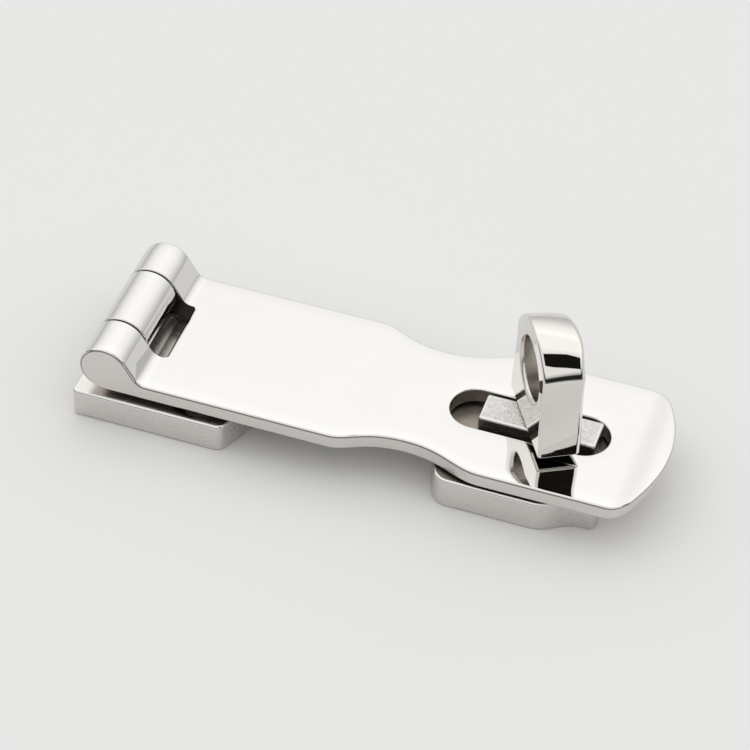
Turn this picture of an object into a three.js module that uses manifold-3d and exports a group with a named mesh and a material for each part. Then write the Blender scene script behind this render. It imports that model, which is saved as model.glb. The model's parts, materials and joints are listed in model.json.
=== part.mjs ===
// Swivel-eye hasp: a hinge plate, a slotted strap that swings on it, and a staple base
// whose turning eye stands up through the strap's slot and locks it down.
// Millimetres, +Z up. X runs along the strap from the hinge to the nose, Y along the hinge
// pin. The origin is on the mounting plane, straight below the hinge pin's middle.

import * as THREE from 'three';
import { mergeVertices } from 'three/addons/utils/BufferGeometryUtils.js';
import Module from 'manifold-3d';

const wasm = await Module();
wasm.setup();

// ---- driving dimensions ----

const RUN_GAP = 0.3;            // space left between pieces that touch or turn on each other

// hinge
const AXIS_Z = 10.3;            // pin centre above the mounting plane
const BARREL_R = 4.3;
const PIN_R = 2.0;
const MID_KNUCKLE_HALF = 6.25;  // half the middle knuckle's length

// strap
const STRAP_TOP = 8.9;
const STRAP_BOTTOM = AXIS_Z - BARREL_R;
const STRAP_HALF = 14;
const NOSE_X = 89.35;
const NOSE_BOW_R = 24;          // the nose's end is a slightly bowed arc
const NOSE_CORNER_R = 4.5;
const WAIST_HALF = 10.9;
const WAIST_START = 37.5;       // where the first shoulder leaves the full width
const WAIST_MID = 49.5;
const WAIST_END = 62.5;         // where the second shoulder is back at the full width
const RAMP_ANGLE = 31;          // degrees above the pin where the barrel's ramp starts
const RAMP_FILLET_R = 2;
const NOTCH_X = 7.3;            // far wall of the notch behind the middle knuckle
const LIP_START = 82.3;         // the nose turns up into a thin finger lip from here
const LIP_RISE = 0.95;
const LIP_THICK = 1.0;
const SLOT_X0 = 53.55;
const SLOT_X1 = 79.6;
const SLOT_HALF = 4.35;

// hinge plate
const LEAF_THICK = 5.2;
const LEAF_X0 = -5.4;
const LEAF_X1 = 24;
const LEAF_HALF = 15.1;
const LEAF_CORNER_R = 1.6;
const PLATE_BOW_R = 30;         // both plates have a bowed end of this radius
const LEAF_HOLE_X = 14.2;
const LEAF_HOLE_Y = 9.2;
const LEAF_SINK_R = 5;

// staple base
const BASE_THICK = 5.6;
const BASE_X0 = 52;
const BASE_X1 = 80.9;
const BASE_HALF = 14.1;
const BASE_CORNER_R = 3;
const TONGUE_HALF = 11.2;       // the base narrows to this at its outer end
const TONGUE_CORNER_R = 0.9;
const TAPER_START = 70.8;
const TAPER_END = 79.2;
const BASE_HOLES_X = [59.4, 72.2];
const BASE_HOLE_Y = 8.4;
const BASE_SINK_R = 4.4;
const SCREW_R = 2.6;            // clearance hole of every screw
const BOSS_X0 = 58.8;           // raised bar that fills the middle of the slot
const BOSS_X1 = 77.9;
const BOSS_HALF = 2.85;
const BOSS_TOP = 9.8;
const POCKET_R = 5;             // round pocket under the base for the eye's washers
const POCKET_DEPTH = 3.2;

// swivel eye
const EYE_X = 68.95;
const EYE_TURN = 31;            // degrees from square across the strap, as it was left
const EYE_THICK = 6.85;
const EYE_RING_R = 8.6;
const EYE_CENTRE_Z = 21.7;
const EYE_HALF = 7.6;           // the ring's sides are ground flat at this half width
const EYE_FOOT_HALF = 8.6;      // and flare to this at the foot
const EYE_BEVEL = 0.4;          // its bevelled edges clear the slot's round end as the strap opens
const FLARE_LOW = 11.5;
const FLARE_HIGH = 19;
const SHACKLE_R = 5.2;
const SPINDLE_R = 1.9;
const RIVET_HEAD_R = 3;
const RIVET_HEAD_Z = [0.3, 0.9];
const RETAINER = { inner: 2.2, outer: 4.1, z0: 1.2, z1: 1.7 };
const SPRING = { inner: 2.35, outer: 4.4, z0: 2.0, cone: 0.45, thick: 0.4 };

const ARC_STEPS = 10;           // segments of each corner or shoulder
const ROUND_STEPS = 48;         // sides of each full round

const rad = THREE.MathUtils.degToRad;

// ---- solids and meshes ----

function solidOf(geometry) {
  const plain = geometry.clone();
  plain.deleteAttribute('normal');
  plain.deleteAttribute('uv');
  const merged = mergeVertices(plain, 1e-4);
  return new wasm.Manifold(new wasm.Mesh({
    numProp: 3,
    vertProperties: merged.attributes.position.array,
    triVerts: Uint32Array.from(merged.index.array),
  }));
}

function meshOf(name, solid, material) {
  const { vertProperties, triVerts } = solid.getMesh();
  const geometry = new THREE.BufferGeometry();
  geometry.setAttribute('position', new THREE.BufferAttribute(vertProperties, 3));
  geometry.setIndex(new THREE.BufferAttribute(triVerts, 1));
  geometry.computeVertexNormals();
  const mesh = new THREE.Mesh(geometry, material);
  mesh.name = name;
  return mesh;
}

// A plan outline (x, y) raised from z0 to z1.
function prismZ(outline, z0, z1) {
  const geometry = new THREE.ExtrudeGeometry(outline, {
    depth: z1 - z0, bevelEnabled: false, curveSegments: ARC_STEPS,
  });
  return solidOf(geometry.translate(0, 0, z0));
}

// A side profile (x, z) stretched across from y0 to y1.
function prismY(profile, y0, y1) {
  const geometry = new THREE.ExtrudeGeometry(profile, {
    depth: y1 - y0, bevelEnabled: false, curveSegments: ARC_STEPS,
  });
  return solidOf(geometry.rotateX(Math.PI / 2).translate(0, y1, 0));
}

// A round bar or cone along Z, its bottom at z0.
function roundZ(x, y, z0, z1, bottomR, topR = bottomR) {
  const geometry = new THREE.CylinderGeometry(topR, bottomR, z1 - z0, ROUND_STEPS);
  return solidOf(geometry.rotateX(Math.PI / 2).translate(x, y, (z0 + z1) / 2));
}

// A round bar along Y, centred on the hinge axis.
function roundY(r, y0, y1) {
  const geometry = new THREE.CylinderGeometry(r, r, y1 - y0, ROUND_STEPS);
  return solidOf(geometry.translate(0, (y0 + y1) / 2, AXIS_Z));
}

function boxOf(x0, x1, y0, y1, z0, z1) {
  const geometry = new THREE.BoxGeometry(x1 - x0, y1 - y0, z1 - z0);
  return solidOf(geometry.translate((x0 + x1) / 2, (y0 + y1) / 2, (z0 + z1) / 2));
}

// ---- outlines ----

// Adds one end of a plan outline: a corner, a bowed end and a corner, going round
// anticlockwise. side is +1 for the end towards +X and -1 for the other.
function addBowedEnd(outline, side, endX, half, bowR, cornerR) {
  const centreX = endX - side * bowR;
  const reachY = half - cornerR;
  const reachX = Math.sqrt((bowR - cornerR) ** 2 - reachY ** 2);
  const tangent = Math.atan2(reachY, reachX);
  const turn = side > 0 ? 0 : Math.PI;
  const cornerX = centreX + side * reachX;
  outline.absarc(cornerX, -side * reachY, cornerR, turn - Math.PI / 2, turn - tangent);
  outline.absarc(centreX, 0, bowR, turn - tangent, turn + tangent);
  outline.absarc(cornerX, side * reachY, cornerR, turn + tangent, turn + Math.PI / 2);
}

// The strap from above: straight, waisted by two S-shaped shoulders, and a bowed nose.
function strapOutline() {
  const outline = new THREE.Shape();
  outline.moveTo(-BARREL_R, STRAP_HALF);
  outline.lineTo(-BARREL_R, -STRAP_HALF);
  outline.lineTo(WAIST_START, -STRAP_HALF);
  outline.bezierCurveTo(
    WAIST_START + 3.5, -STRAP_HALF, WAIST_START + 5, -WAIST_HALF, WAIST_MID, -WAIST_HALF);
  outline.bezierCurveTo(
    WAIST_MID + 6.5, -WAIST_HALF, WAIST_END - 4.5, -STRAP_HALF, WAIST_END, -STRAP_HALF);
  addBowedEnd(outline, 1, NOSE_X, STRAP_HALF, NOSE_BOW_R, NOSE_CORNER_R);
  outline.lineTo(WAIST_END, STRAP_HALF);
  outline.bezierCurveTo(
    WAIST_END - 4.5, STRAP_HALF, WAIST_MID + 6.5, WAIST_HALF, WAIST_MID, WAIST_HALF);
  outline.bezierCurveTo(
    WAIST_START + 5, WAIST_HALF, WAIST_START + 3.5, STRAP_HALF, WAIST_START, STRAP_HALF);
  return outline;
}

// The strap from the side: barrel, steep ramp, fillet, flat plate and turned-up lip.
function strapProfile() {
  const ramp = rad(RAMP_ANGLE);
  const rampX = BARREL_R * Math.cos(ramp);
  const rampZ = AXIS_Z + BARREL_R * Math.sin(ramp);
  const footX = rampX + (rampZ - STRAP_TOP) * Math.tan(ramp);
  const trim = RAMP_FILLET_R * Math.tan((Math.PI / 2 - ramp) / 2);
  const lipTop = STRAP_TOP + LIP_RISE;
  const lipRun = NOSE_X - LIP_START;

  const profile = new THREE.Shape();
  profile.moveTo(0, STRAP_BOTTOM);
  profile.lineTo(LIP_START - 1, STRAP_BOTTOM);
  profile.bezierCurveTo(
    LIP_START + lipRun * 0.4, STRAP_BOTTOM,
    LIP_START + lipRun * 0.7, lipTop - LIP_THICK - 0.8,
    NOSE_X + 0.1, lipTop - LIP_THICK);
  profile.lineTo(NOSE_X + 0.1, lipTop);
  profile.bezierCurveTo(
    LIP_START + lipRun * 0.75, lipTop - 0.25,
    LIP_START + lipRun * 0.5, STRAP_TOP,
    LIP_START, STRAP_TOP);
  profile.lineTo(footX + trim, STRAP_TOP);
  profile.absarc(
    footX + trim, STRAP_TOP + RAMP_FILLET_R, RAMP_FILLET_R, -Math.PI / 2, -Math.PI + ramp, true);
  profile.lineTo(rampX, rampZ);
  profile.absarc(0, AXIS_Z, BARREL_R, ramp, Math.PI * 1.5);
  return profile;
}

function slotOutline() {
  const outline = new THREE.Shape();
  outline.absarc(SLOT_X1 - SLOT_HALF, 0, SLOT_HALF, -Math.PI / 2, Math.PI / 2);
  outline.absarc(SLOT_X0 + SLOT_HALF, 0, SLOT_HALF, Math.PI / 2, Math.PI * 1.5);
  return outline;
}

// The hinge plate from above: square behind the barrel, bowed under the strap.
function leafOutline() {
  const outline = new THREE.Shape();
  outline.moveTo(LEAF_X0, LEAF_HALF - 1);
  outline.lineTo(LEAF_X0, 1 - LEAF_HALF);
  outline.absarc(LEAF_X0 + 1, 1 - LEAF_HALF, 1, Math.PI, Math.PI * 1.5);
  addBowedEnd(outline, 1, LEAF_X1, LEAF_HALF, PLATE_BOW_R, LEAF_CORNER_R);
  outline.absarc(LEAF_X0 + 1, LEAF_HALF - 1, 1, Math.PI / 2, Math.PI);
  return outline;
}

// The middle knuckle from the side: a round barrel on a web that stands on the plate.
function knuckleProfile() {
  const low = -Math.PI / 4;
  const webX = BARREL_R * Math.cos(low);
  const webZ = AXIS_Z + BARREL_R * Math.sin(low);
  const profile = new THREE.Shape();
  profile.moveTo(-BARREL_R, LEAF_THICK - 1);
  profile.lineTo(BARREL_R + 0.4, LEAF_THICK - 1);
  profile.lineTo(BARREL_R + 0.4, LEAF_THICK);
  profile.quadraticCurveTo(webX + 0.1, LEAF_THICK, webX, webZ);
  profile.absarc(0, AXIS_Z, BARREL_R, low, Math.PI);
  return profile;
}

// The staple base from above: bowed towards the hinge, narrowing to a squared tongue.
function baseOutline() {
  const bend = (TAPER_END - TAPER_START) / 2;
  const cornerX = BASE_X1 - TONGUE_CORNER_R;
  const cornerY = TONGUE_HALF - TONGUE_CORNER_R;
  const outline = new THREE.Shape();
  outline.moveTo(TAPER_START, -BASE_HALF);
  outline.bezierCurveTo(
    TAPER_START + bend, -BASE_HALF, TAPER_END - bend, -TONGUE_HALF, TAPER_END, -TONGUE_HALF);
  outline.absarc(cornerX, -cornerY, TONGUE_CORNER_R, -Math.PI / 2, 0);
  outline.absarc(cornerX, cornerY, TONGUE_CORNER_R, 0, Math.PI / 2);
  outline.lineTo(TAPER_END, TONGUE_HALF);
  outline.bezierCurveTo(
    TAPER_END - bend, TONGUE_HALF, TAPER_START + bend, BASE_HALF, TAPER_START, BASE_HALF);
  addBowedEnd(outline, -1, BASE_X0, BASE_HALF, PLATE_BOW_R, BASE_CORNER_R);
  return outline;
}

// The eye's face (s across, z up): a ring with its sides ground flat, flaring to the foot.
function eyeOutline(footZ) {
  const crease = Math.acos(EYE_HALF / EYE_RING_R);
  const bend = (FLARE_HIGH - FLARE_LOW) / 2;
  const outline = new THREE.Shape();
  outline.moveTo(-EYE_FOOT_HALF, footZ);
  outline.lineTo(EYE_FOOT_HALF, footZ);
  outline.lineTo(EYE_FOOT_HALF, FLARE_LOW);
  outline.bezierCurveTo(
    EYE_FOOT_HALF, FLARE_LOW + bend, EYE_HALF, FLARE_HIGH - bend, EYE_HALF, FLARE_HIGH);
  outline.absarc(0, EYE_CENTRE_Z, EYE_RING_R, crease, Math.PI - crease);
  outline.lineTo(-EYE_HALF, FLARE_HIGH);
  outline.bezierCurveTo(
    -EYE_HALF, FLARE_HIGH - bend, -EYE_FOOT_HALF, FLARE_LOW + bend, -EYE_FOOT_HALF, FLARE_LOW);
  return outline;
}

// ---- pieces ----

// A screw hole with a cone for a flat head, sunk from the top of a plate.
function screwHole(x, y, thick, sinkR) {
  const depth = sinkR - SCREW_R;
  return roundZ(x, y, -1, thick + 1, SCREW_R)
    .add(roundZ(x, y, thick - depth, thick + 0.5, SCREW_R, sinkR + 0.5));
}

function hingePlate() {
  let plate = prismZ(leafOutline(), 0, LEAF_THICK)
    .add(prismY(knuckleProfile(), -MID_KNUCKLE_HALF, MID_KNUCKLE_HALF))
    .subtract(roundY(PIN_R + RUN_GAP, -STRAP_HALF, STRAP_HALF));
  for (const side of [-1, 1]) {
    plate = plate.subtract(screwHole(LEAF_HOLE_X, side * LEAF_HOLE_Y, LEAF_THICK, LEAF_SINK_R));
  }
  return plate;
}

function hingePin() {
  return roundY(PIN_R, -STRAP_HALF, STRAP_HALF);
}

function strap() {
  const notchHalf = MID_KNUCKLE_HALF + RUN_GAP;
  return prismY(strapProfile(), -STRAP_HALF, STRAP_HALF)
    .intersect(prismZ(strapOutline(), 0, AXIS_Z + BARREL_R + 1))
    .subtract(boxOf(-BARREL_R - 1, NOTCH_X, -notchHalf, notchHalf, 0, AXIS_Z + BARREL_R + 1))
    .subtract(prismZ(slotOutline(), 0, AXIS_Z))
    .subtract(roundY(PIN_R + RUN_GAP, -STRAP_HALF - 1, STRAP_HALF + 1));
}

function stapleBase() {
  let base = prismZ(baseOutline(), 0, BASE_THICK)
    .add(boxOf(BOSS_X0, BOSS_X1, -BOSS_HALF, BOSS_HALF, BASE_THICK - 1, BOSS_TOP))
    .subtract(roundZ(EYE_X, 0, -1, BOSS_TOP + 1, SPINDLE_R + RUN_GAP))
    .subtract(roundZ(EYE_X, 0, -1, POCKET_DEPTH, POCKET_R));
  for (const x of BASE_HOLES_X) {
    for (const side of [-1, 1]) {
      base = base.subtract(screwHole(x, side * BASE_HOLE_Y, BASE_THICK, BASE_SINK_R));
    }
  }
  return base;
}

// The eye, its spindle and the spindle's riveted-over end, facing along X.
function swivelEye() {
  const footZ = BOSS_TOP + RUN_GAP;
  const plate = new THREE.ExtrudeGeometry(eyeOutline(footZ), {
    depth: EYE_THICK - 2 * EYE_BEVEL, curveSegments: ARC_STEPS * 2,
    bevelThickness: EYE_BEVEL, bevelSize: EYE_BEVEL, bevelOffset: -EYE_BEVEL, bevelSegments: 1,
  });
  plate.translate(0, 0, EYE_BEVEL - EYE_THICK / 2).rotateX(Math.PI / 2).rotateZ(Math.PI / 2);
  const hole = new THREE.CylinderGeometry(SHACKLE_R, SHACKLE_R, EYE_THICK + 2, ROUND_STEPS);
  hole.rotateZ(Math.PI / 2).translate(0, 0, EYE_CENTRE_Z);
  const [headZ0, headZ1] = RIVET_HEAD_Z;
  return solidOf(plate)
    .subtract(solidOf(hole))
    .add(roundZ(0, 0, headZ0, footZ + 1, SPINDLE_R))
    .add(roundZ(0, 0, headZ0, headZ1, RIVET_HEAD_R));
}

// A flat ring on the spindle, turned from its half section.
function retainingWasher() {
  const { inner, outer, z0, z1 } = RETAINER;
  const section = [[inner, z0], [outer, z0], [outer, z1], [inner, z1], [inner, z0]];
  return solidOf(latheZ(section));
}

// A coned spring washer that presses the eye down on the boss.
function springWasher() {
  const { inner, outer, z0, cone, thick } = SPRING;
  const section = [
    [inner, z0], [outer, z0 + cone], [outer, z0 + cone + thick], [inner, z0 + thick], [inner, z0],
  ];
  return solidOf(latheZ(section));
}

function latheZ(section) {
  const points = section.map(([r, z]) => new THREE.Vector2(r, z));
  return new THREE.LatheGeometry(points, ROUND_STEPS).rotateX(Math.PI / 2);
}

// ---- the assembly ----

function steel(color, roughness) {
  return new THREE.MeshStandardMaterial({ color, roughness, metalness: 1 });
}

const hasp = new THREE.Group();
hasp.add(meshOf('hinge_plate', hingePlate(), steel(0xc9c7c2, 0.18)));
hasp.add(meshOf('hinge_pin', hingePin(), steel(0xbdb8b2, 0.35)));
hasp.add(meshOf('hasp_strap', strap(), steel(0xe4e2dc, 0.08)));
hasp.add(meshOf('staple_base', stapleBase(), steel(0xc6c2bc, 0.22)));

const spindle = new THREE.Group();
spindle.position.set(EYE_X, 0, 0);
spindle.rotation.z = rad(EYE_TURN);
spindle.add(meshOf('swivel_eye', swivelEye(), steel(0xdedad2, 0.1)));
spindle.add(meshOf('retaining_washer', retainingWasher(), steel(0xb9b6b0, 0.35)));
hasp.add(spindle);

const springSeat = new THREE.Group();
springSeat.position.set(EYE_X, 0, 0);
springSeat.add(meshOf('spring_washer', springWasher(), steel(0xa9a7a3, 0.3)));
hasp.add(springSeat);

export default hasp;
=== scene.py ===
import json
import math

import bpy
from mathutils import Matrix, Vector
from mathutils.geometry import delaunay_2d_cdt


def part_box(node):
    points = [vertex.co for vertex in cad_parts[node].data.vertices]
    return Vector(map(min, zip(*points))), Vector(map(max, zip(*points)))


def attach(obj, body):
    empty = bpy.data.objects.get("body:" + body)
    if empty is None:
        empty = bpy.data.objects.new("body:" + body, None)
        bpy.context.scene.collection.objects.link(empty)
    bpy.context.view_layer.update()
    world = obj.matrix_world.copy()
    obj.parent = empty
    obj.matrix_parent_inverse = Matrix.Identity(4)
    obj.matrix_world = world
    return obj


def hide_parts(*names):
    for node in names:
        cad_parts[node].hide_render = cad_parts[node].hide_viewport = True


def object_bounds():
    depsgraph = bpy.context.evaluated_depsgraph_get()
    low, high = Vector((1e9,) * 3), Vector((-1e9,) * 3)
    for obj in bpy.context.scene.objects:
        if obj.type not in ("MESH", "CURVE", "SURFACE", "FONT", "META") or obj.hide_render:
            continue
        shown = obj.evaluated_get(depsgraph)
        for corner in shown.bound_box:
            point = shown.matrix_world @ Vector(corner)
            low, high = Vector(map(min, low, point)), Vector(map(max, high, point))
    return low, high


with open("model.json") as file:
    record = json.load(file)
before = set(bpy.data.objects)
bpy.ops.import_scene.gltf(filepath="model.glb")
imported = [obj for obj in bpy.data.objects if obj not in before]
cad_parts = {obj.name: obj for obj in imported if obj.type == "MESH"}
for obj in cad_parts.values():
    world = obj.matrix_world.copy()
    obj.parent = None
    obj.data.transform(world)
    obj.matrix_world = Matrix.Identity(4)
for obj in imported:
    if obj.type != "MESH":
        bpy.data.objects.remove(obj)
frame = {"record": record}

# Looks for the swivel-eye hasp. Every casting is skinned again with softened edges and a
# true normal at each corner, so that polished faces mirror cleanly. Shapes are worked out
# in millimetres from the frame's boxes, in the frame's own axes, and made in metres.

MM = 0.001

# The finishes, as places in a piece's list of materials.
MIRROR = 0
SATIN = 1
# DARK: as-cast steel, darkened further as painted shade in bores, holes, slot walls and under
# the strap.
DARK = 2
# RECESS: painted shade in the hinge's gaps.
RECESS = 3
RUBBED = 4
# EDGE: a dark line along polished edges, a painted reflection.
EDGE = 5

cad_low, cad_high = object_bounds()


# ---- skins: faces with a normal at each corner ----

class Skin:
    """Gathers faces whose corners are (point, normal), then makes one mesh of them."""

    def __init__(self):
        self.faces = []

    def face(self, corners, finish):
        self.faces.append((corners, finish))

    def strip(self, low, high, finish, closed=False):
        """Joins two rings of corners with four-sided faces."""
        count = len(low)
        for i in range(count if closed else count - 1):
            j = (i + 1) % count
            self.face([low[i], low[j], high[j], high[i]], finish)

    def stack(self, rings, finishes, closed=False):
        for i in range(len(rings) - 1):
            self.strip(rings[i], rings[i + 1], finishes[i], closed)

    def cap(self, loops, lift, normal, finish, extra=()):
        """Fills the flat region inside the first loop and outside the others."""
        points = [p for loop in loops for p in loop] + list(extra)
        edges = []
        start = 0
        for loop in loops:
            size = len(loop)
            edges += [(start + i, start + (i + 1) % size) for i in range(size)]
            start += size
        made = delaunay_2d_cdt([Vector(p) for p in points], edges, [], 0, 1e-5)
        new_points, _, triangles, sources, _, _ = made
        flat = [points[s[0]] if s else tuple(new_points[i]) for i, s in enumerate(sources)]
        for triangle in triangles:
            corners = [flat[i] for i in triangle]
            middle = (sum(p[0] for p in corners) / 3, sum(p[1] for p in corners) / 3)
            if sum(inside(middle, loop) for loop in loops) == 1:
                self.face([(lift(p), normal) for p in corners], finish)

    def bend(self, change):
        """Moves every corner: change(point, normal) gives the new point and normal."""
        self.faces = [([change(p, n) for p, n in corners], f) for corners, f in self.faces]

    def warp(self, moved):
        """Moves every point, and turns the normals as that bends the surface."""
        tiny = 1e-3

        def change(p, n):
            columns = []
            for axis in range(3):
                ahead, back = list(p), list(p)
                ahead[axis] += tiny
                back[axis] -= tiny
                columns.append([(a - b) / (2 * tiny) for a, b in zip(moved(ahead),
                                                                     moved(back))])
            slopes = Matrix(columns).transposed()
            return moved(p), tuple((slopes.inverted().transposed() @ Vector(n)).normalized())

        self.bend(change)

    def make(self, name, materials):
        """One mesh object, its faces turned to agree with their corner normals."""
        seen = {}
        points = []
        polygons = []
        normals = []
        finishes = []
        for corners, finish in self.faces:
            indices = []
            kept = []
            for p, n in corners:
                key = tuple(round(c, 4) for c in p)
                if key not in seen:
                    seen[key] = len(points)
                    points.append(Vector(p) * MM)
                if seen[key] not in indices:
                    indices.append(seen[key])
                    kept.append((p, n))
            if len(indices) < 3:
                continue
            a, b, c = (Vector(kept[i][0]) for i in (0, 1, 2))
            facing = (b - a).cross(c - a)
            if len(kept) == 4:
                facing = (c - a).cross(Vector(kept[3][0]) - b)
            if facing.length < 1e-9:
                continue
            if facing.dot(sum((Vector(n) for _, n in kept), Vector())) < 0:
                indices.reverse()
                kept.reverse()
            polygons.append(indices)
            normals += [Vector(n).normalized() for _, n in kept]
            finishes.append(finish)
        mesh = bpy.data.meshes.new(name)
        mesh.from_pydata(points, [], polygons)
        for material in materials:
            mesh.materials.append(material)
        for polygon, finish in zip(mesh.polygons, finishes):
            polygon.material_index = finish
            polygon.use_smooth = True
        mesh.normals_split_custom_set(normals)
        made = bpy.data.objects.new(name, mesh)
        bpy.context.scene.collection.objects.link(made)
        return made


def inside(point, loop):
    """Whether a point is inside a closed loop."""
    x, y = point
    found = False
    for (x0, y0), (x1, y1) in zip(loop, loop[1:] + loop[:1]):
        if (y0 > y) != (y1 > y) and x < x0 + (y - y0) * (x1 - x0) / (y1 - y0):
            found = not found
    return found


# ---- outlines: points with the outward direction at each ----

def arc(cx, cy, r, start, end, steps):
    """An arc from start to end degrees, as (x, y, nx, ny) with n pointing off its centre."""
    out = []
    for i in range(steps + 1):
        a = math.radians(start + (end - start) * i / steps)
        out.append((cx + r * math.cos(a), cy + r * math.sin(a), math.cos(a), math.sin(a)))
    return out


def hollow_arc(cx, cy, r, start, end, steps):
    """The same for a concave stretch, with n pointing at the centre."""
    return [(x, y, -nx, -ny) for x, y, nx, ny in arc(cx, cy, r, start, end, steps)]


def curve(p0, p1, p2, p3, steps):
    """A Bezier stretch; the outward side is on the right of its direction."""
    out = []
    for i in range(steps + 1):
        t = i / steps
        u = 1 - t
        x, y = (u**3 * a + 3 * u * u * t * b + 3 * u * t * t * c + t**3 * d
                for a, b, c, d in zip(p0, p1, p2, p3))
        dx, dy = (u * u * (b - a) + 2 * u * t * (c - b) + t * t * (d - c)
                  for a, b, c, d in zip(p0, p1, p2, p3))
        length = math.hypot(dx, dy)
        out.append((x, y, dy / length, -dx / length))
    return out


def straight(p0, p1, steps=1):
    """A straight stretch; the outward side is on the right of its direction."""
    dx, dy = p1[0] - p0[0], p1[1] - p0[1]
    length = math.hypot(dx, dy)
    return [(p0[0] + dx * i / steps, p0[1] + dy * i / steps, dy / length, -dx / length)
            for i in range(steps + 1)]


def join(*stretches):
    """One outline of several stretches, without the points where they meet twice."""
    out = []
    for stretch in stretches:
        for item in stretch:
            if not out or math.hypot(item[0] - out[-1][0], item[1] - out[-1][1]) > 1e-4:
                out.append(item)
    if math.hypot(out[0][0] - out[-1][0], out[0][1] - out[-1][1]) < 1e-4:
        out.pop()
    return out


def mirrored(stretch):
    """The same stretch on the other side of the centre line, run the other way."""
    return [(x, -y, nx, -ny) for x, y, nx, ny in reversed(stretch)]


def bowed_end(end_x, half, bow_r, corner_r, side=1):
    """A bowed end with round corners, anticlockwise. side is 1 at +X and -1 at -X."""
    reach_y = half - corner_r
    reach_x = math.sqrt((bow_r - corner_r) ** 2 - reach_y**2)
    tangent = math.degrees(math.atan2(reach_y, reach_x))
    centre = end_x - side * bow_r
    turn = 0 if side > 0 else 180
    corner = centre + side * reach_x
    return join(
        arc(corner, -side * reach_y, corner_r, turn - 90, turn - tangent, 14),
        arc(centre, 0, bow_r, turn - tangent, turn + tangent, 28),
        arc(corner, side * reach_y, corner_r, turn + tangent, turn + 90, 14),
        [(corner, side * half, 0.0, float(side))],
    )


def circle(cx, cy, r, steps=48, hole=True):
    """A closed circle; for a hole n points at its centre."""
    sign = -1 if hole else 1
    return [(x, y, sign * nx, sign * ny)
            for x, y, nx, ny in arc(cx, cy, r, 0, 360, steps)[:-1]]


# ---- edges: how a wall turns into a face ----

def round_over(radius, roll_depth=0.0, roll_width=0.0, steps=6):
    """From a wall to the face beside it, as (inset, depth, out, up): a rounded edge, and
    after it a shallow roll that fades into the flat."""
    rim = radius
    slope = 0.0
    sink = 0.0
    if roll_width:
        part = 1 - rim / roll_width
        slope = 2 * roll_depth / roll_width * part
        sink = roll_depth * part * part
    last = math.pi / 2 - math.atan(slope)
    out = []
    for i in range(steps + 1):
        a = last * i / steps
        out.append((radius * (1 - math.cos(a)),
                    sink + radius * (math.sin(last) - math.sin(a)),
                    math.cos(a), math.sin(a)))
    if roll_width:
        first = out[-1][0]
        for i in range(1, steps + 1):
            inset = first + (roll_width - first) * i / steps
            part = 1 - inset / roll_width
            tilt = math.atan(2 * roll_depth / roll_width * part)
            out.append((inset, roll_depth * part * part, math.sin(tilt), math.cos(tilt)))
    return out


def raised(outline, steps, corners=()):
    """Rings of corners up an outline: steps are (inset, height, out, up). corners are the
    (x, y, radius) of the small corners at the foot of an outline centred on x = 0. They
    come to a point where the inset is more than their radius."""
    rings = []
    for inset, z, out, up in steps:
        ring = []
        for x, y, nx, ny in outline:
            spot = (x - nx * inset, y - ny * inset)
            for cx, cy, radius in corners:
                if inset > radius and math.hypot(x - cx, y - cy) < radius + 0.01:
                    beyond = inset - radius
                    spot = (cx - math.copysign(beyond, cx), cy + beyond)
            ring.append(((*spot, z), (nx * out, ny * out, up)))
        rings.append(ring)
    return rings


def wall_steps(z0, z1, low_edge, high_edge, arris=MIRROR):
    """The steps of a plate's rim from its underside to its top, and the finish of each.
    arris is the finish of the line where the wall turns into the polished top; on the strap
    that finish is a dark painted reflection."""
    low = [(inset, z0 + depth, out, -up) for inset, depth, out, up in reversed(low_edge)]
    high = [(inset, z1 - depth, out, up) for inset, depth, out, up in high_edge]
    finishes = [SATIN] * len(low) + [arris] * 2 + [MIRROR] * (len(high) - 3)
    return low + high, finishes


def flat_loop(ring):
    """A ring's corners as a plan outline."""
    return [(p[0], p[1]) for p, _ in ring]


def at_height(z):
    return lambda p: (p[0], p[1], z)


def smooth(t):
    """From 0 to 1 with an easy start and end."""
    t = max(0.0, min(1.0, t))
    return t * t * (3 - 2 * t)


UP = (0.0, 0.0, 1.0)
DOWN = (0.0, 0.0, -1.0)


def turned(cx, cy, profile, steps=48):
    """Rings about an upright axis: profile is (radius, height, out, up)."""
    rings = []
    for radius, z, out, up in profile:
        rings.append([((cx + radius * math.cos(a), cy + radius * math.sin(a), z),
                       (out * math.cos(a), out * math.sin(a), up))
                      for a in (2 * math.pi * i / steps for i in range(steps))])
    return rings


def sink_profile(thick, bore_r, sink_r, rim=0.25):
    """A countersunk screw hole from the underside up, its walls facing the axis."""
    slant = math.sqrt(0.5)
    cone_low = thick - (sink_r - bore_r)
    return [
        (bore_r + rim, 0.0, -slant, -slant),
        (bore_r, rim, -1, 0),
        (bore_r, cone_low, -1, 0),
        (bore_r, cone_low, -slant, slant),
        (sink_r - rim, thick - rim, -slant, slant),
        (sink_r, thick - 0.08, -slant, slant),
        (sink_r + rim, thick, 0, 1),
    ]


# ---- sizes from the frame ----

def box_mm(node):
    low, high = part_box(node)
    return Vector(low) / MM, Vector(high) / MM


joints = {joint["name"]: joint for joint in frame["record"]["behaviour"]["joints"]}
axis_z = joints["strap_swing"]["pos_m"][2] / MM
eye_x = joints["eye_swivel"]["pos_m"][0] / MM
eye_z = joints["eye_swivel"]["pos_m"][2] / MM
strap_low, strap_high = box_mm("hasp_strap")
leaf_low, leaf_high = box_mm("hinge_plate")
base_low, base_high = box_mm("staple_base")
_, eye_high = box_mm("swivel_eye")

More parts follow.
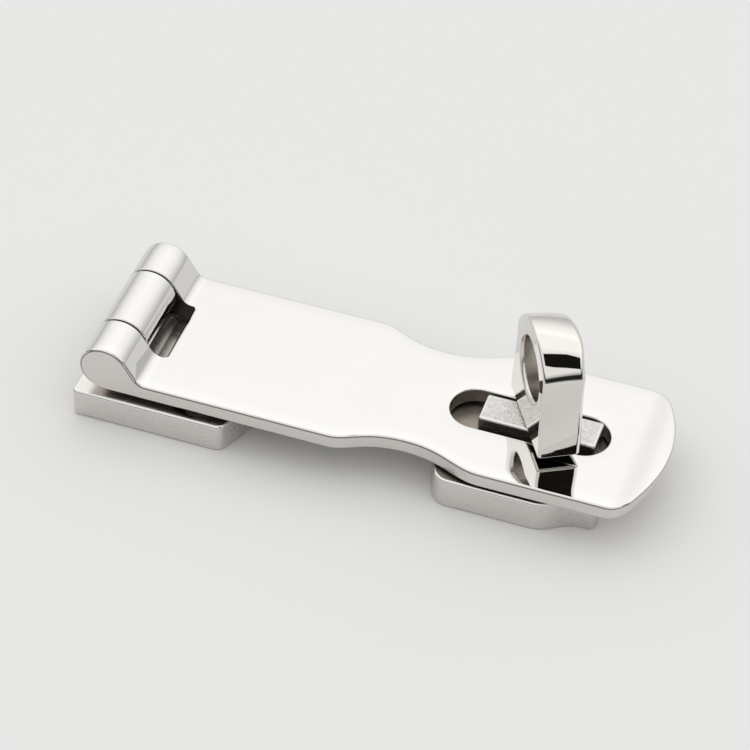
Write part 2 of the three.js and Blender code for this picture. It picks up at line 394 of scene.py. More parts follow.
BARREL_R = strap_high.z - axis_z
STRAP_Z0 = strap_low.z
STRAP_THICK = 2.9
STRAP_Z1 = STRAP_Z0 + STRAP_THICK
STRAP_HALF = strap_high.y
RAMP_ANGLE = 31                   # degrees above the pin where the barrel's ramp starts
RAMP_FILLET_R = 2.0
NOSE_X = strap_high.x
NOSE_BOW_R = 24
NOSE_CORNER_R = 4.5
WAIST_HALF = 10.9
WAIST_START, WAIST_MID, WAIST_END = 37.5, 49.5, 62.5
NOTCH_X = 7.3                     # far wall of the notch behind the middle knuckle
NOTCH_BEVEL_R = 0.85
NOTCH_BEVEL_FADE = 0.45           # how near a knuckle the bevel starts to fade out
RAMP_EDGE_END = 6.3               # the knuckles' inner edges are rounded up to here
EDGE_FADE = 1.5                   # how far a rounded edge takes to fade out
SEAM_X = 8.7                      # where the knuckles' skin meets the plate's
KNUCKLE_GAP = 6.55                # inner face of each outer knuckle
MID_KNUCKLE = 6.25                # end face of the middle knuckle
BORE_R = 2.3
BORE_END = 13.4                   # the pin is ground off and polished over at its ends
LIP_X = 82.3                      # the nose turns up into a thin finger lip from here
LIP_RISE = 0.95
LIP_THINNING = 2.85
SLOT_X0, SLOT_X1, SLOT_HALF = 53.55, 79.6, 4.35
PLATE_BOW_R = 30                  # both plates have a bowed end of this radius
LEAF_THICK = 5.2
LEAF_BACK_R = 1.0
LEAF_CORNER_R = 1.6
LEAF_HOLE_X, LEAF_HOLE_Y, LEAF_SINK_R = 14.2, 9.2, 5.0
# Below this height the web's hollow is left as cast and darkened as painted shade.
WEB_ROUGH_BELOW = axis_z - 1      # the web's hollow is left as cast up to here
BASE_THICK = 5.6
BASE_CORNER_R = 3
TONGUE_HALF = 11.2                # the base narrows to this at its outer end
TONGUE_CORNER_R = 0.9
TAPER_START, TAPER_END = 70.8, 79.2
BASE_HOLES_X, BASE_HOLE_Y, BASE_SINK_R = (59.4, 72.2), 8.4, 4.2
BAR_X0, BAR_X1, BAR_HALF, BAR_CORNER_R = 58.8, 77.9, 2.85, 0.4
SPINDLE_BORE_R = 2.2
POCKET_R, POCKET_TOP, POCKET_RIM = 5.0, 3.2, 0.2
SPINDLE_R = 1.9
RIVET_HEAD_R = 3.0
SCREW_R = 2.6

STRAP_EDGE = round_over(0.42, 0.1, 2.4)
SLOT_EDGE = round_over(0.3, 0.06, 2.2)
SOFT_EDGE = round_over(0.45)
FINE_EDGE = round_over(0.25, steps=4)


# ---- knuckles: a side profile stretched along the hinge ----

def ramp_profile(x_seam):
    """The strap's knuckle from the side: along the top from the seam, down the ramp,
    round the barrel and back along the underside."""
    turn = math.radians(RAMP_ANGLE)
    top_x = BARREL_R * math.cos(turn)
    top_z = axis_z + BARREL_R * math.sin(turn)
    foot_x = top_x + (top_z - STRAP_Z1) * math.tan(turn)
    fillet = RAMP_FILLET_R
    trim = fillet * math.tan((math.pi / 2 - turn) / 2)
    return join(
        [(x_seam, STRAP_Z1, 0.0, 1.0), (NOTCH_X, STRAP_Z1, 0.0, 1.0)],
        hollow_arc(foot_x + trim, STRAP_Z1 + fillet, fillet, -90, -180 + RAMP_ANGLE, 12),
        arc(0, axis_z, BARREL_R, RAMP_ANGLE, 270, 64),
        [(NOTCH_X, STRAP_Z0, 0.0, -1.0), (x_seam, STRAP_Z0, 0.0, -1.0)],
    )


def web_profile():
    """The middle knuckle from the side: a barrel on a web that stands on the plate."""
    r = BARREL_R
    web_x = r * math.cos(math.radians(-45))
    web_z = axis_z + r * math.sin(math.radians(-45))
    foot = (r + 0.4, LEAF_THICK)
    return join(
        curve(foot, (foot[0] - 0.6, LEAF_THICK), (web_x + 0.05, web_z - 1.2),
              (web_x, web_z), 8),
        arc(0, axis_z, r, -45, 180, 60),
        straight((-r, axis_z), (-r, LEAF_THICK), 2),
    )


def stretch(skin, profile, y0, y1, edge0, edge1, ease0, ease1, arris0=MIRROR,
            arris1=MIRROR, rough_below=-1.0):
    """Skins a side profile from y0 to y1. ease gives how much of the edge's rounding is
    used at each point; what faces the strap below rough_below is left as cast and
    darkened as painted shade. Gives the side curves at the two end faces."""
    rings = []
    walls = ([], [])
    for x, z, mx, mz in profile:
        ring = []
        for y, side, edge, ease in ((y0, -1, edge0, ease0), (y1, 1, edge1, ease1)):
            part = ease(x, z)
            corners = [((x - mx * depth * part, y - side * inset * part,
                         z - mz * depth * part), (mx * up, side * out, mz * up))
                       for inset, depth, out, up in edge]
            walls[side > 0].append((corners[0][0][0], corners[0][0][2]))
            if part < 0.01:
                corners = [((x, y, z), (mx, 0.0, mz))]
                corners *= len(edge)
            ring += corners if side < 0 else corners[::-1]
        rings.append(ring)
    size = len(rings[0])
    for low, high, spot in zip(rings, rings[1:], profile[1:]):
        face = MIRROR if spot[3] > -0.8 else SATIN
        # Painted shade: the dark finish on the side towards the strap, below rough_below.
        if spot[0] > 0 and spot[1] < rough_below:
            face = DARK
        skin.strip(low[:3], high[:3], arris0 if face == MIRROR else face)
        skin.strip(low[2:size - 2], high[2:size - 2], face)
        skin.strip(low[size - 3:], high[size - 3:], arris1 if face == MIRROR else face)
    return walls


def end_face(skin, loop, y, side, bore_r, finish):
    """A knuckle's flat end, with the pin's bore in it if it has one."""
    loops = [loop]
    if bore_r:
        loops.append([(x, z) for x, z, _, _ in circle(0, axis_z, bore_r)])
    skin.cap(loops, lambda p: (p[0], y, p[1]), (0.0, float(side), 0.0), finish)


def bore_wall(skin, y0, y1, bore_r):
    rings = [[((x, y, z), (nx, 0.0, nz)) for x, z, nx, nz in circle(0, axis_z, bore_r)]
             for y in (y0, y1)]
    skin.stack(rings, [DARK], closed=True)


def always(x, z):
    """The ease of an edge that is rounded all along."""
    return 1.0


# ---- the strap ----

def strap_rim():
    """The strap from above, from the near side of the seam round the nose to the far."""
    half, waist = STRAP_HALF, WAIST_HALF
    start, mid, end = WAIST_START, WAIST_MID, WAIST_END
    near = join(
        straight((SEAM_X, -half), (start, -half)),
        curve((start, -half), (start + 3.5, -half), (start + 5, -waist), (mid, -waist), 24),
        curve((mid, -waist), (mid + 6.5, -waist), (end - 4.5, -half), (end, -half), 24),
    )
    nose = bowed_end(NOSE_X, half, NOSE_BOW_R, NOSE_CORNER_R)
    return join(near, nose, mirrored(near))


def turned_up_nose(p):
    """Turns the nose up into a thin finger lip."""
    x, y, z = p
    start = LIP_X - 1
    if x < start:
        return x, y, z
    part = (x - start) / (NOSE_X - start)
    low = STRAP_Z0 + LIP_THINNING * part**1.9
    high = STRAP_Z1 + LIP_RISE * smooth((x - LIP_X - 1.0) / 4.8)
    return x, y, low + (z - STRAP_Z0) / STRAP_THICK * (high - low)


def slot_rim():
    mid0, mid1 = SLOT_X0 + SLOT_HALF, SLOT_X1 - SLOT_HALF
    right = hollow_arc(mid1, 0, SLOT_HALF, -90, 90, 32)
    left = hollow_arc(mid0, 0, SLOT_HALF, 90, 270, 32)
    return join(right, left)


def notch(skin, y_stations):
    """The plate's end wall behind the middle knuckle, its top edge broadly bevelled."""
    rings = []
    for y in y_stations:
        reach = min(1.0, (KNUCKLE_GAP - abs(y)) / NOTCH_BEVEL_FADE)
        r = NOTCH_BEVEL_R * reach
        ring = [((SEAM_X, y, STRAP_Z1), UP)]
        for i in range(9):
            a = math.radians(90 + 90 * i / 8)
            ring.append(((NOTCH_X + r + r * math.cos(a), y, STRAP_Z1 - r + r * math.sin(a)),
                         (math.cos(a), 0.0, math.sin(a))))
        ring += [
            ((NOTCH_X, y, STRAP_Z0), (-1.0, 0.0, 0.0)),
            ((NOTCH_X, y, STRAP_Z0), DOWN),
            ((SEAM_X, y, STRAP_Z0), DOWN),
        ]
        rings.append(ring)
    skin.stack(rings, [MIRROR] * (len(rings) - 1))


def make_strap(materials):
    skin = Skin()
    # The strap's top edges carry a dark line: painted reflection.
    steps, finishes = wall_steps(STRAP_Z0, STRAP_Z1, STRAP_EDGE, STRAP_EDGE, EDGE)
    rim = raised(strap_rim(), steps)
    skin.stack(rim, finishes)
    slot_steps, _ = wall_steps(STRAP_Z0, STRAP_Z1, SLOT_EDGE, SLOT_EDGE)
    slot = raised(slot_rim(), slot_steps)
    # The slot's lower edge and wall take the dark finish: as-cast steel darkened as painted
    # shade.
    skin.stack(slot, [DARK] * len(SLOT_EDGE) + [MIRROR] * (len(SLOT_EDGE) - 1), closed=True)

    bevel_end = 5.9
    y_stations = [-KNUCKLE_GAP, -MID_KNUCKLE, -bevel_end, bevel_end, MID_KNUCKLE, KNUCKLE_GAP]
    seam = [(SEAM_X, y) for y in reversed(y_stations)]
    # Points inside the nose's flat, so that it can bend, none of them near a loop.
    apart = 0.5
    grid = [(LIP_X - 1 + apart * i, y) for i in range(15) for y in range(-11, 12, 2)]
    for z, ring, hole, normal, finish in ((STRAP_Z1, rim[-1], slot[-1], UP, MIRROR),
                                          (STRAP_Z0, rim[0], slot[0], DOWN, SATIN)):
        outer = flat_loop(ring)
        within = [p for p in grid
                  if inside(p, outer + seam) and not inside(p, flat_loop(hole))
                  and min(math.dist(p, q) for q in outer + flat_loop(hole)) > apart]
        skin.cap([outer + seam, flat_loop(hole)], at_height(z), normal, finish, within)
    notch(skin, y_stations)

    def inner_ease(x, z):
        return max(0.0, min(1.0, (RAMP_EDGE_END - x) / EDGE_FADE))

    for side in (-1, 1):
        # The knuckles' outer edges take EDGE: a dark line of painted reflection.
        profile = ramp_profile(SEAM_X)
        y_in, y_out = side * KNUCKLE_GAP, side * STRAP_HALF
        if side > 0:
            walls = stretch(skin, profile, y_in, y_out, FINE_EDGE, STRAP_EDGE,
                            inner_ease, always, arris1=EDGE)
            inner, outer = walls
        else:
            walls = stretch(skin, profile, y_out, y_in, STRAP_EDGE, FINE_EDGE,
                            always, inner_ease, arris0=EDGE)
            outer, inner = walls
        end_face(skin, outer, y_out, side, None, SATIN)
        # The inner end face, in the hinge's gap, is painted shade.
        end_face(skin, inner[1:-1], y_in, -side, BORE_R, RECESS)
        bore_wall(skin, y_in, side * BORE_END, BORE_R)
        end = [(x, z) for x, z, _, _ in circle(0, axis_z, BORE_R)]
        skin.cap([end], lambda p: (p[0], side * BORE_END, p[1]), (0.0, -side, 0.0), RECESS)
    skin.warp(turned_up_nose)
    return skin.make("strap_skin", materials)


# ---- the hinge plate ----

def make_leaf(materials):
    skin = Skin()
    half = leaf_high.y
    corner = LEAF_BACK_R
    back = leaf_low.x
    nose = bowed_end(leaf_high.x, half, PLATE_BOW_R, LEAF_CORNER_R)
    rim = join(
        arc(back + corner, -half + corner, corner, 180, 270, 10),
        nose,
        arc(back + corner, half - corner, corner, 90, 180, 10),
    )
    steps, finishes = wall_steps(0.0, LEAF_THICK, SOFT_EDGE, SOFT_EDGE)
    rings = raised(rim, steps)
    skin.stack(rings, finishes, closed=True)
    sink = sink_profile(LEAF_THICK, SCREW_R, LEAF_SINK_R)
    holes = [turned(LEAF_HOLE_X, side * LEAF_HOLE_Y, sink) for side in (-1, 1)]
    for hole in holes:
        skin.stack(hole, [DARK] * (len(hole) - 1), closed=True)

    profile = web_profile()
    foot = [(profile[0][0], -MID_KNUCKLE), (profile[0][0], MID_KNUCKLE),
            (profile[-1][0], MID_KNUCKLE), (profile[-1][0], -MID_KNUCKLE)]
    skin.cap([flat_loop(rings[-1]), foot] + [flat_loop(hole[-1]) for hole in holes],
             at_height(LEAF_THICK), UP, SATIN)
    skin.cap([flat_loop(rings[0])] + [flat_loop(hole[0]) for hole in holes],
             at_height(0.0), DOWN, SATIN)

    def ease(x, z):
        return max(0.0, min(1.0, (z - LEAF_THICK) / EDGE_FADE))

    walls = stretch(skin, profile, -MID_KNUCKLE, MID_KNUCKLE, FINE_EDGE, FINE_EDGE,
                    ease, ease, rough_below=WEB_ROUGH_BELOW)
    for wall, side in zip(walls, (-1, 1)):
        # The middle knuckle's end faces, in the hinge's gaps, are painted shade.
        end_face(skin, wall, side * MID_KNUCKLE, side, BORE_R, RECESS)
    bore_wall(skin, -MID_KNUCKLE, MID_KNUCKLE, BORE_R)
    return skin.make("hinge_plate_skin", materials)


# ---- the staple base ----

def base_rim():
    half, tongue, corner = base_high.y, TONGUE_HALF, TONGUE_CORNER_R
    start, end = TAPER_START, TAPER_END
    mid = (start + end) / 2
    near = join(
        curve((start, -half), (mid, -half), (mid, -tongue), (end, -tongue), 20),
        arc(base_high.x - corner, -tongue + corner, corner, -90, 0, 8),
    )
    hinge_end = bowed_end(base_low.x, half, PLATE_BOW_R, BASE_CORNER_R, side=-1)
    return join(hinge_end, near, mirrored(near))


def make_base(materials):
    skin = Skin()
    steps, finishes = wall_steps(0.0, BASE_THICK, SOFT_EDGE, SOFT_EDGE)
    rings = raised(base_rim(), steps)
    skin.stack(rings, finishes, closed=True)
    sink = sink_profile(BASE_THICK, SCREW_R, BASE_SINK_R)
    holes = [turned(x, side * BASE_HOLE_Y, sink) for x in BASE_HOLES_X for side in (-1, 1)]
    for hole in holes:
        skin.stack(hole, [DARK] * (len(hole) - 1), closed=True)

    x0, x1, half, corner = BAR_X0, BAR_X1, BAR_HALF, BAR_CORNER_R
    top = base_high.z
    bar = join(
        arc(x1 - corner, -half + corner, corner, -90, 0, 6),
        arc(x1 - corner, half - corner, corner, 0, 90, 6),
        arc(x0 + corner, half - corner, corner, 90, 180, 6),
        arc(x0 + corner, -half + corner, corner, 180, 270, 6),
    )
    edge = round_over(0.38, steps=5)
    bar_steps = [(0.0, BASE_THICK, 1.0, 0.0)]
    bar_steps += [(inset, top - depth, out, up) for inset, depth, out, up in edge]
    bar_rings = raised(bar, bar_steps)
    skin.stack(bar_rings, [SATIN] + [MIRROR] * (len(edge) - 1), closed=True)

    pocket = turned(eye_x, 0, [
        (POCKET_R + POCKET_RIM, 0.0, -0.7, -0.7), (POCKET_R, POCKET_RIM, -1, 0),
        (POCKET_R, POCKET_TOP, -1, 0), (POCKET_R, POCKET_TOP, 0, -1),
        (SPINDLE_BORE_R, POCKET_TOP, 0, -1), (SPINDLE_BORE_R, POCKET_TOP, -1, 0),
        (SPINDLE_BORE_R, top, -1, 0),
    ])
    skin.stack(pocket, [DARK] * (len(pocket) - 1), closed=True)
    skin.cap([flat_loop(bar_rings[-1]), flat_loop(pocket[-1])], at_height(top), UP, RUBBED)
    # The base's top takes the dark finish: painted shade under the strap and through its slot.
    skin.cap([flat_loop(rings[-1]), flat_loop(bar_rings[0])]
             + [flat_loop(hole[-1]) for hole in holes], at_height(BASE_THICK), UP, DARK)
    skin.cap([flat_loop(rings[0]), flat_loop(pocket[0])]
             + [flat_loop(hole[0]) for hole in holes], at_height(0.0), DOWN, SATIN)
    return skin.make("staple_base_skin", materials)


# ---- the swivel eye ----

EYE_TURN = math.radians(31)
EYE_THICK = 6.85
EYE_R = eye_high.z - eye_z
EYE_HALF = 7.78
EYE_FOOT = base_high.z + 0.3
EYE_CORNER = 0.45                 # of the square foot
EYE_CREASE_R = 1.5                # where the ring turns into its ground sides
EYE_EDGE_NEAR, EYE_EDGE_FAR = 0.5, 0.95
SHACKLE_R = 5.2
SHACKLE_EDGE = 0.7

# How the sides swell to the foot: the heights where that starts, is steep and ends, and
# its slope. Each is the value at a side's leaner corner, and how much more at the other.
FLARE_START = (17.6, 5.0)
FLARE_STEEP = (11.9, 3.7)
FLARE_END = (11.4, 0.6)
FLARE_SLOPE = (0.205, -0.04)
CROWN, CROWN_SHIFT = 0.0173, 0.91     # of the rim, per square millimetre of depth
GROUND_OFF = 1.0                      # the far part of the top
LEAN_OUT = 0.5                        # of the far face at the top
RIM_START, RIM_FADE = 5.4, 0.7        # only what is further across than this swells


def eye_rim():
    """The eye's face, as (across, up): a ring with ground sides down to a square foot."""
    crease = EYE_CREASE_R
    fillet_z = math.sqrt((EYE_R - crease) ** 2 - (EYE_HALF - crease) ** 2)
    lean = math.degrees(math.atan2(fillet_z, EYE_HALF - crease))
    corner = EYE_CORNER
    half = EYE_HALF
    side = join(
        straight((0, EYE_FOOT), (half - corner, EYE_FOOT), 4),
        arc(half - corner, EYE_FOOT + corner, corner, -90, 0, 6),
        straight((half, EYE_FOOT + corner), (half, eye_z + fillet_z), 24),
        arc(half - crease, eye_z + fillet_z, crease, 0, lean, 8),
    )
    other = [(-x, y, -nx, ny) for x, y, nx, ny in reversed(side)]
    return join(side, arc(0, eye_z, EYE_R, lean, 180 - lean, 56), other)


def hand_ground(p):
    """The eye's sides swell to its foot, more at one corner of each side. Its rim is
    crowned, the far part of the top is ground off, and the far face leans out there."""
    across, up, depth = p
    side = 1 if across > 0 else -1
    lean = 0.5 + side * depth / EYE_THICK
    start, steep, end, slope = (least + more * lean for least, more
                                in (FLARE_START, FLARE_STEEP, FLARE_END, FLARE_SLOPE))
    if up > start:
        swell = 0.0
    elif up > steep:
        swell = slope * (start - up) ** 2 / (start - steep) / 2
    else:
        swell = slope * (start - end) / 2 - slope * max(0.0, up - end) ** 2 / (steep - end) / 2
    part = 0.5 + depth / EYE_THICK
    above = up - eye_z
    crown = CROWN * (depth + CROWN_SHIFT) ** 2 * smooth(above / 4)
    ground = GROUND_OFF * max(0.0, part) ** 1.2
    ground *= smooth((above - 3.5) / 3) * smooth((6 - across) / 9)
    return (across + side * swell * smooth((abs(across) - RIM_START) / RIM_FADE),
            up - (crown + ground) * smooth(above / 4),
            depth + LEAN_OUT * part * smooth((above - 5) / 3.5))


def stand_eye(p, n):
    """From (across, up, depth) on the eye's face to the row's frame."""
    c, s = math.cos(EYE_TURN), math.sin(EYE_TURN)

    def turn(v):
        return (v[0] * s + v[2] * c, -v[0] * c + v[2] * s, v[1])

    x, y, z = turn(p)
    return (x + eye_x, y, z), turn(n)


def face_steps(low_r, high_r, rows):
    """The steps through the eye's thickness, with a different edge on each face."""
    low = [(inset, -EYE_THICK / 2 + depth, out, -up)
           for inset, depth, out, up in reversed(round_over(low_r))]
    high = [(inset, EYE_THICK / 2 - depth, out, up)
            for inset, depth, out, up in round_over(high_r)]
    start, end = low[-1][1], high[0][1]
    middle = [(0.0, start + (end - start) * i / rows, 1.0, 0.0) for i in range(1, rows)]
    return low + middle + high


def make_eye(materials):
    skin = Skin()
    foot_corners = [(side * (EYE_HALF - EYE_CORNER), EYE_FOOT + EYE_CORNER, EYE_CORNER)
                    for side in (-1, 1)]
    rim = raised(eye_rim(), face_steps(EYE_EDGE_NEAR, EYE_EDGE_FAR, 12), foot_corners)
    skin.stack(rim, [MIRROR] * (len(rim) - 1), closed=True)
    hole = raised(circle(0, eye_z, SHACKLE_R, 72), face_steps(SHACKLE_EDGE, SHACKLE_EDGE, 3))
    chamfer = len(round_over(SHACKLE_EDGE)) - 1
    bore = [DARK] * (len(hole) - 1 - 2 * chamfer)
    skin.stack(hole, [SATIN] * chamfer + bore + [SATIN] * chamfer, closed=True)
    for ring, ring_in, depth in ((rim[0], hole[0], -EYE_THICK / 2),
                                 (rim[-1], hole[-1], EYE_THICK / 2)):
        normal = (0.0, 0.0, math.copysign(1.0, depth))
        skin.cap([flat_loop(ring), flat_loop(ring_in)], at_height(depth), normal, MIRROR)
    skin.warp(hand_ground)
    skin.bend(stand_eye)
    return skin.make("swivel_eye_skin", materials)


def lathe(name, cx, cy, profile, material, upright=True):
    """A closed turned piece: the profile runs from the axis round to the axis, or closes."""
    skin = Skin()
    rings = turned(cx, cy, profile, 64)
    skin.stack(rings, [0] * (len(rings) - 1), closed=True)
    if not upright:
        skin.bend(lambda p, n: ((p[0], p[2], p[1] + axis_z), (n[0], n[2], n[1])))
    return skin.make(name, [material])


def ring_profile(inner, outer, z0, z1, cone=0.0, rim=0.12):
    """A washer's half section with softened corners; cone lifts its outer edge."""
    d = math.sqrt(0.5)
    return [
        (inner, z0 + rim, -1, 0), (inner + rim, z0, -d, -d), (inner + rim, z0, 0, -1),
        (outer - rim, z0 + cone, 0, -1), (outer - rim, z0 + cone, d, -d),
        (outer, z0 + cone + rim, 1, 0), (outer, z1 + cone - rim, 1, 0),
        (outer - rim, z1 + cone, d, d), (outer - rim, z1 + cone, 0, 1),
        (inner + rim, z1, 0, 1), (inner + rim, z1, -d, d), (inner, z1 - rim, -1, 0),
        (inner, z0 + rim, -1, 0),
    ]


def spindle_profile():
    """The eye's spindle and its riveted-over head, from the top down."""
    r, head_r, head_top, dome_z, dome = SPINDLE_R, RIVET_HEAD_R, 0.9, 0.75, 0.42
    top = EYE_FOOT + 0.2              # buried in the eye's foot
    head = [(head_r * math.cos(a), dome_z - dome * math.sin(a), math.cos(a), -math.sin(a))
            for a in (math.pi / 2 * i / 8 for i in range(9))]
    return [
        (0.0, top, 0, 1), (r, top, 0, 1), (r, top, 1, 0), (r, head_top, 1, 0),
        (r, head_top, 0, 1), (head_r - 0.1, head_top, 0, 1), (head_r - 0.1, head_top, 1, 0),
    ] + head


def pin_profile():
    """The hinge pin from end to end, a little short and slim for its bore."""
    half, r, rim = BORE_END - 0.05, BORE_R - 0.02, 0.06
    return [
        (0.0, -half, 0, -1), (r - rim, -half, 0, -1), (r - rim, -half, 0.7, -0.7),
        (r, -half + rim, 1, 0), (r, half - rim, 1, 0), (r - rim, half, 0.7, 0.7),
        (r - rim, half, 0, 1), (0.0, half, 0, 1),
    ]


# ---- materials ----

SCRATCH_SCALE = 2600              # noise per metre
WAVE_SCALE = 500
WAVE_HEIGHT = 0.0001
EVEN = (90, 0.97)                 # a hardly mottled colour


def steel(name, colour, roughness, scratch, grain=(1, 1, 1), waviness=0.0, depth=0.00002,
          mottle=EVEN):
    """Polished or linished stainless steel. scratch and depth are the strength and height
    of the fine scratches, which grain stretches along an axis. waviness is the strength of
    a broader bump. mottle is the scale of the colour's spots and how dark they get."""
    material = bpy.data.materials.new(name)
    material.use_nodes = True
    nodes, links = material.node_tree.nodes, material.node_tree.links
    shader = nodes["Principled BSDF"]
    shader.inputs["Metallic"].default_value = 1.0
    place = nodes.new("ShaderNodeTexCoord")

    def noise(scale, detail, scaling=(1, 1, 1)):
        mapping = nodes.new("ShaderNodeMapping")
        mapping.inputs["Scale"].default_value = scaling
        links.new(place.outputs["Object"], mapping.inputs["Vector"])
        texture = nodes.new("ShaderNodeTexNoise")
        texture.inputs["Scale"].default_value = scale
        texture.inputs["Detail"].default_value = detail
        links.new(mapping.outputs["Vector"], texture.inputs["Vector"])
        return texture.outputs["Fac"]

    def ramp(value, low, high):
        spread = nodes.new("ShaderNodeMapRange")
        spread.inputs["To Min"].default_value = low
        spread.inputs["To Max"].default_value = high
        links.new(value, spread.inputs["Value"])
        return spread.outputs["Result"]

    tint = nodes.new("ShaderNodeMix")
    tint.data_type = "RGBA"
    tint.inputs[6].default_value = (*[c * mottle[1] for c in colour], 1)
    tint.inputs[7].default_value = (*colour, 1)
    links.new(noise(mottle[0], 3), tint.inputs[0])
    links.new(tint.outputs[2], shader.inputs["Base Color"])

    fine = noise(SCRATCH_SCALE, 4, grain)
    links.new(ramp(fine, roughness * 0.7, roughness * 1.3), shader.inputs["Roughness"])
    bump = nodes.new("ShaderNodeBump")
    bump.inputs["Strength"].default_value = scratch
    bump.inputs["Distance"].default_value = depth
    links.new(fine, bump.inputs["Height"])
    if waviness:
        swell = nodes.new("ShaderNodeBump")
        swell.inputs["Strength"].default_value = waviness
        swell.inputs["Distance"].default_value = WAVE_HEIGHT
        links.new(noise(WAVE_SCALE, 2), swell.inputs["Height"])
        links.new(swell.outputs["Normal"], bump.inputs["Normal"])
    links.new(bump.outputs["Normal"], shader.inputs["Normal"])
    return material


polished = steel("polished_steel", (0.75, 0.74, 0.725), 0.035, 0.02)
linished = steel("linished_steel", (0.72, 0.69, 0.665), 0.26, 0.1, grain=(0.06, 1, 1))
# As-cast steel darkened as painted shade: the bores, screw holes, spindle pocket, slot walls,
# the web's hollow and the staple base's top under the strap.
shadowed = steel("cast_steel_painted_shade", (0.31, 0.28, 0.25), 0.35, 0.8)
# Nearly black: painted shade on the knuckles' end faces in the hinge's gaps and on the bore's
# closed ends.
recess = steel("recess_painted_shade", (0.1, 0.09, 0.085), 0.4, 0.2)
rubbed = steel("rubbed_steel", (0.74, 0.73, 0.71), 0.2, 0.7, waviness=0.9,
               depth=0.0002, mottle=(1300, 0.62))
# A dark line along the strap's top edges and its outer knuckles' edges: painted reflection of
# what the rounded edge mirrors.
arris = steel("arris_painted_reflection", (0.28, 0.26, 0.24), 0.4, 0.1)
reamed = steel("reamed_steel", (0.68, 0.65, 0.61), 0.2, 0.03)
eye_polish = steel("eye_steel", (0.755, 0.738, 0.708), 0.03, 0.015)
spring = steel("spring_steel", (0.55, 0.54, 0.53), 0.3, 0.2)
washer = steel("washer_steel", (0.66, 0.65, 0.63), 0.3, 0.2)


# ---- pieces ----

def fit(piece, body, node):
    """Puts a piece on its body in place of its node."""
    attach(piece, body)
    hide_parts(node)


# In the order of the finishes' numbers. The eye's own dark finish is its reamed bore.
steels = [polished, linished, shadowed, recess, rubbed, arris]
fit(make_strap(steels), "strap", "hasp_strap")
fit(make_leaf(steels[:4]), "leaf", "hinge_plate")
fit(make_base(steels[:5]), "staple", "staple_base")
fit(make_eye([eye_polish, linished, reamed]), "eye", "swivel_eye")
spindle = lathe("eye_spindle", eye_x, 0, spindle_profile(), linished)
fit(spindle, "eye", "swivel_eye")
pin = lathe("hinge_pin_skin", 0, 0, pin_profile(), linished, upright=False)
fit(pin, "strap", "hinge_pin")
coned_ring = ring_profile(inner=2.35, outer=4.4, z0=2.0, z1=2.4, cone=0.45)
coned = lathe("spring_washer_skin", eye_x, 0, coned_ring, spring)
fit(coned, "staple", "spring_washer")
flat_ring = ring_profile(inner=2.2, outer=4.1, z0=1.2, z1=1.7)
flat = lathe("retaining_washer_skin", eye_x, 0, flat_ring, washer)
fit(flat, "eye", "retaining_washer")


# ---- the studio ----

# Corners of the black card and its middle, as degrees from -Y towards +X and degrees up,
# seen from the eye.
FLAG_CORNERS = ((30, 58), (46, 39.5), (62, 21), (69, 44), (71, 60), (50, 71), (32.5, 72.5))
FLAG_MIDDLE = (52, 56)
FLAG_DISTANCE = 0.6

# Brightness of the surroundings by the height of the direction: all round, and at the front.
TENT = ((0.0, 0.6), (0.16, 0.7), (0.33, 0.92), (0.47, 1.1), (0.59, 1.2), (0.69, 1.28),
        (0.8, 1.38), (0.9, 1.24), (1.0, 1.24))
FRONT = ((0.0, 0.02), (0.08, 0.02), (0.11, 0.5), (0.14, 0.5), (0.17, 0.02), (0.3, 0.02),
         (0.35, 0.6), (0.43, 1.02), (0.9, 0.97), (0.95, 1.0), (0.98, 1.1), (1.0, 1.3))

CAMERA_ANGLES = (17.03, 43.37, -2.39)     # degrees: azimuth, elevation and roll
CAMERA_AIM = Vector((-1.6, 1.2, -5.95))   # from the middle of the box, in millimetres
CAMERA_DISTANCE = 0.4353
CAMERA_LENS = 130.8


def make_floor():
    """A wide sheet of pale paper."""
    half = 3.0
    mesh = bpy.data.meshes.new("floor")
    mesh.from_pydata([(-half, -half, 0), (half, -half, 0), (half, half, 0), (-half, half, 0)],
                     [], [(0, 1, 2, 3)])
    floor = bpy.data.objects.new("floor", mesh)
    bpy.context.scene.collection.objects.link(floor)
    paper = bpy.data.materials.new("pale_paper")
    paper.use_nodes = True
    shader = paper.node_tree.nodes["Principled BSDF"]
    shader.inputs["Base Color"].default_value = (0.77, 0.77, 0.77, 1)
    shader.inputs["Roughness"].default_value = 0.9
    shader.inputs["Specular IOR Level"].default_value = 0.1
    mesh.materials.append(paper)


def make_flag():
    """A black card above the camera's right shoulder: polished steel needs one to look
    polished, because it mirrors nothing but white without it."""
    centre = Vector((eye_x * MM, 0, eye_z * MM))
    corners = []
    for azimuth, elevation in (*FLAG_CORNERS, FLAG_MIDDLE):
        a, e = math.radians(azimuth), math.radians(elevation)
        ahead = Vector((math.sin(a) * math.cos(e), -math.cos(a) * math.cos(e), math.sin(e)))
        corners.append(centre + FLAG_DISTANCE * ahead)
    count = len(FLAG_CORNERS)
    mesh = bpy.data.meshes.new("flag")
    mesh.from_pydata(corners, [], [(i, (i + 1) % count, count) for i in range(count)])
    flag = bpy.data.objects.new("flag", mesh)
    bpy.context.scene.collection.objects.link(flag)
    black = bpy.data.materials.new("black_card")
    black.use_nodes = True
    shader = black.node_tree.nodes["Principled BSDF"]
    shader.inputs["Base Color"].default_value = (0.012, 0.011, 0.01, 1)
    shader.inputs["Roughness"].default_value = 1.0
    shader.inputs["Specular IOR Level"].default_value = 0.0
    mesh.materials.append(black)
    flag.visible_camera = False
    flag.visible_shadow = False
    flag.visible_diffuse = False


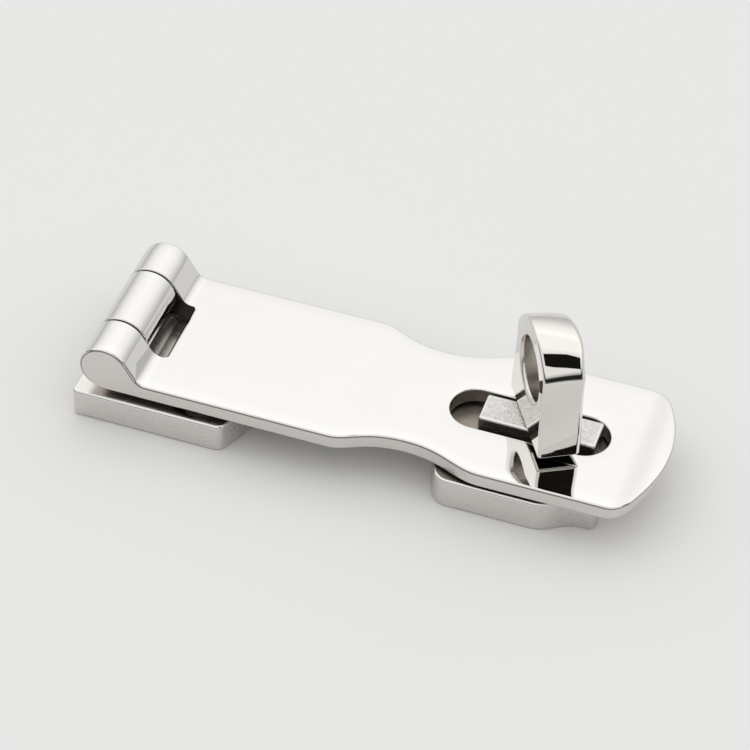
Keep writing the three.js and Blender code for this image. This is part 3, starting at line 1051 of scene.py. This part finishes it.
def make_world():
    """A soft white tent: brightest high up, a little less overhead and greyer towards the
    ground, with a dark gap low down at the front where the photographer stands."""
    world = bpy.data.worlds.new("tent")
    bpy.context.scene.world = world
    world.use_nodes = True
    nodes, links = world.node_tree.nodes, world.node_tree.links
    place = nodes.new("ShaderNodeTexCoord")
    split = nodes.new("ShaderNodeSeparateXYZ")
    links.new(place.outputs["Generated"], split.inputs["Vector"])

    def ramp(source, stops):
        made = nodes.new("ShaderNodeValToRGB")
        elements = made.color_ramp.elements
        while len(elements) < len(stops):
            elements.new(0.5)
        for element, (position, value) in zip(elements, stops):
            element.position = position
            element.color = (value, value * 0.995, value * 0.98, 1)
        links.new(source, made.inputs["Fac"])
        return made.outputs["Color"]

    tent = ramp(split.outputs["Z"], TENT)
    gap = ramp(split.outputs["Z"], FRONT)
    front = nodes.new("ShaderNodeMapRange")
    front.inputs["From Min"].default_value = 0.0
    front.inputs["From Max"].default_value = -0.2
    links.new(split.outputs["Y"], front.inputs["Value"])
    mix = nodes.new("ShaderNodeMix")
    mix.data_type = "RGBA"
    links.new(front.outputs["Result"], mix.inputs[0])
    links.new(tent, mix.inputs[6])
    links.new(gap, mix.inputs[7])

    links.new(mix.outputs[2], nodes["Background"].inputs["Color"])


def make_camera():
    """The photograph's viewpoint: a long lens from above the near side."""
    azimuth, elevation, roll = (math.radians(a) for a in CAMERA_ANGLES)
    aim = Vector(((cad_low + cad_high) / 2)) + CAMERA_AIM * MM
    ahead = Vector((-math.sin(azimuth) * math.cos(elevation),
                    math.cos(azimuth) * math.cos(elevation), -math.sin(elevation)))
    right = Vector((math.cos(azimuth), math.sin(azimuth), 0))
    down = ahead.cross(right)
    right, down = (right * math.cos(roll) + down * math.sin(roll),
                   down * math.cos(roll) - right * math.sin(roll))
    camera = bpy.data.objects.new("camera", bpy.data.cameras.new("camera"))
    camera.data.sensor_width = 36
    camera.data.lens = CAMERA_LENS
    camera.data.clip_start = 0.01
    spot = aim - ahead * CAMERA_DISTANCE
    camera.matrix_world = Matrix((
        (right.x, -down.x, -ahead.x, spot.x),
        (right.y, -down.y, -ahead.y, spot.y),
        (right.z, -down.z, -ahead.z, spot.z),
        (0, 0, 0, 1),
    ))
    bpy.context.scene.collection.objects.link(camera)
    bpy.context.scene.camera = camera


make_floor()
make_flag()
make_world()
make_camera()
bpy.context.scene.view_settings.view_transform = "Standard"

bpy.context.view_layer.update()
